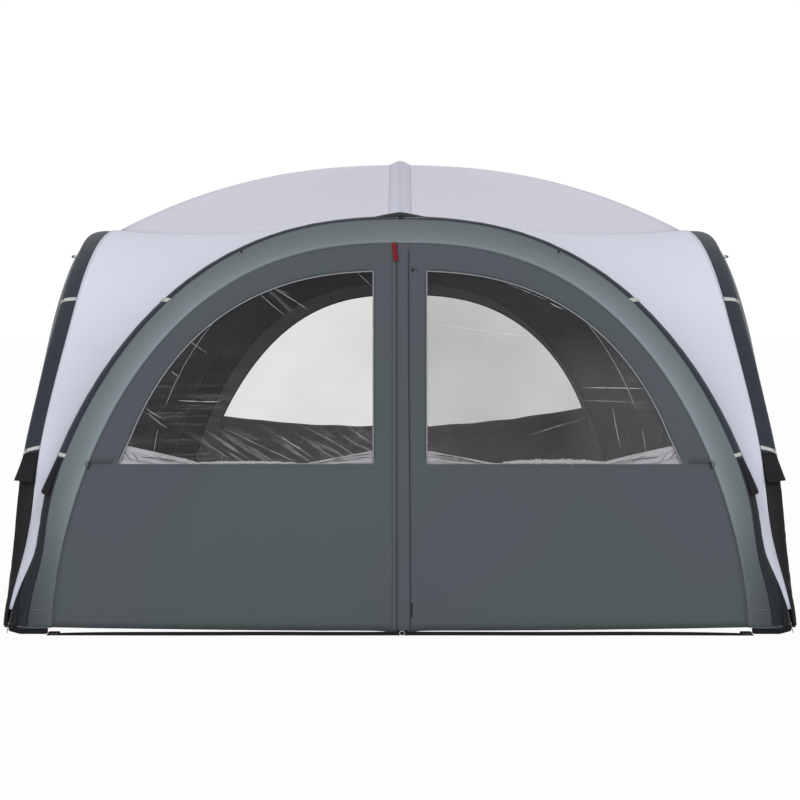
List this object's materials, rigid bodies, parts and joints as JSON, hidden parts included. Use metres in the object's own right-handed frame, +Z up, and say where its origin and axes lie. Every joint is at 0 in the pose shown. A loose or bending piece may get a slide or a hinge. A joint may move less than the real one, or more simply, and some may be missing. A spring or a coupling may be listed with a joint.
{
  "type": "shelter tent",
  "caption": "Air-beam shelter tent: leaning arches on a square plan, silver roof cloths, zipped front doors with clear windows and dark closed walls.",
  "frame": {"origin": "on the ground, at the middle of the square plan", "axes": "+Z up, the zipped doorway faces -Y, +X to the right of a viewer outside the doorway"},
  "size_m": [3.816, 3.816, 2.358],
  "materials": {
    "silver": "silver-coated canopy cloth",
    "band": "matt grey sleeve cloth",
    "wall": "matt dark grey wall cloth",
    "sleeve": "matt blue-grey sleeve cloth",
    "boot": "matt black heavy cloth",
    "strap": "black webbing",
    "curtain": "soft light grey cloth",
    "red": "red webbing",
    "beam": "smooth air tube in a cloth cover",
    "clear": "clear film",
    "plastic": "moulded black",
    "metal": "dark zip slider"
  },
  "bodies": {
    "tent": {"beam_arch_front": "beam", "beam_arch_right": "beam", "beam_arch_rear": "beam", "beam_arch_left": "beam", "beam_ridge": "beam", "beam_cross_left": "beam", "beam_cross_right": "beam", "band_front": "band", "band_right": "band", "band_rear": "band", "band_left": "band", "edge_strip_front": "sleeve", "edge_strip_right": "sleeve", "edge_strip_rear": "sleeve", "edge_strip_left": "sleeve", "corner_panel_front_left": "silver", "corner_panel_front_right": "silver", "corner_panel_rear_right": "silver", "corner_panel_rear_left": "silver", "roof_panel_left": "silver", "roof_panel_right": "silver", "ridge_sleeve": "silver", "corner_boot_front_left": "boot", "corner_boot_front_right": "boot", "corner_boot_rear_right": "boot", "corner_boot_rear_left": "boot", "ground_strap_front": "strap", "ground_strap_right": "strap", "ground_strap_rear": "strap", "ground_strap_left": "strap", "air_valve_front": "plastic", "air_valve_right": "plastic", "air_valve_rear": "plastic", "air_valve_left": "plastic", "rear_wall": "wall", "rear_window": "clear", "side_wall_right": "wall", "side_wall_left": "wall", "tieback_toggle_right": "plastic", "tieback_toggle_left": "plastic"},
    "door_left": {"door_leaf_left": "wall", "door_pane_left": "clear", "sill_curtain_left": "curtain", "zip_tape": "sleeve"},
    "door_right": {"door_leaf_right": "wall", "door_pane_right": "clear", "sill_curtain_right": "curtain", "door_placket": "wall"},
    "slider": {"zip_slider": "metal"},
    "pull": {"zip_pull": "red"},
    "cover_front_left_front": {"flap_front_left_front": "sleeve"},
    "cover_front_left_left": {"flap_front_left_left": "sleeve"},
    "cover_front_right_front": {"flap_front_right_front": "sleeve"},
    "cover_front_right_right": {"flap_front_right_right": "sleeve"},
    "cover_rear_right_right": {"flap_rear_right_right": "sleeve"},
    "cover_rear_right_rear": {"flap_rear_right_rear": "sleeve"},
    "cover_rear_left_rear": {"flap_rear_left_rear": "sleeve"},
    "cover_rear_left_left": {"flap_rear_left_left": "sleeve"}
  },
  "joints": [
    {"name": "door_left_swing", "type": "hinge", "parent": "tent", "child": "door_left", "pos_m": [-1.64889, -1.85976, 0.032], "axis": [0, -0.0698, -0.9976], "range_deg": [0, 105]},
    {"name": "door_right_swing", "type": "hinge", "parent": "tent", "child": "door_right", "pos_m": [1.64889, -1.85976, 0.032], "axis": [0, 0.0698, 0.9976], "range_deg": [0, 105]},
    {"name": "zip_run", "type": "slide", "parent": "door_left", "child": "slider", "axis": [0, 0.0698, 0.9976], "range_m": [-1.66, 0]},
    {"name": "pull_swing", "type": "hinge", "parent": "slider", "child": "pull", "pos_m": [-0.025, -1.74039, 1.81313], "axis": [-1, 0, 0], "range_deg": [0, 90]},
    {"name": "cover_front_left_front_lift", "type": "hinge", "parent": "tent", "child": "cover_front_left_front", "pos_m": [-1.61332, -1.77595, 0.82506], "axis": [-0.5234, 0.8279, 0.2017], "range_deg": [0, 110]},
    {"name": "cover_front_left_left_lift", "type": "hinge", "parent": "tent", "child": "cover_front_left_left", "pos_m": [-1.77595, -1.61332, 0.82506], "axis": [-0.8279, 0.5234, -0.2017], "range_deg": [0, 110]},
    {"name": "cover_front_right_front_lift", "type": "hinge", "parent": "tent", "child": "cover_front_right_front", "pos_m": [1.61332, -1.77595, 0.82506], "axis": [-0.5234, -0.8279, -0.2017], "range_deg": [0, 110]},
    {"name": "cover_front_right_right_lift", "type": "hinge", "parent": "tent", "child": "cover_front_right_right", "pos_m": [1.77595, -1.61332, 0.82506], "axis": [-0.8279, -0.5234, 0.2017], "range_deg": [0, 110]},
    {"name": "cover_rear_right_right_lift", "type": "hinge", "parent": "tent", "child": "cover_rear_right_right", "pos_m": [1.77595, 1.61332, 0.82506], "axis": [0.8279, -0.5234, -0.2017], "range_deg": [0, 110]},
    {"name": "cover_rear_right_rear_lift", "type": "hinge", "parent": "tent", "child": "cover_rear_right_rear", "pos_m": [1.61332, 1.77595, 0.82506], "axis": [0.5234, -0.8279, 0.2017], "range_deg": [0, 110]},
    {"name": "cover_rear_left_rear_lift", "type": "hinge", "parent": "tent", "child": "cover_rear_left_rear", "pos_m": [-1.61332, 1.77595, 0.82506], "axis": [0.5234, 0.8279, -0.2017], "range_deg": [0, 110]},
    {"name": "cover_rear_left_left_lift", "type": "hinge", "parent": "tent", "child": "cover_rear_left_left", "pos_m": [-1.77595, 1.61332, 0.82506], "axis": [0.8279, 0.5234, 0.2017], "range_deg": [0, 110]}
  ]
}
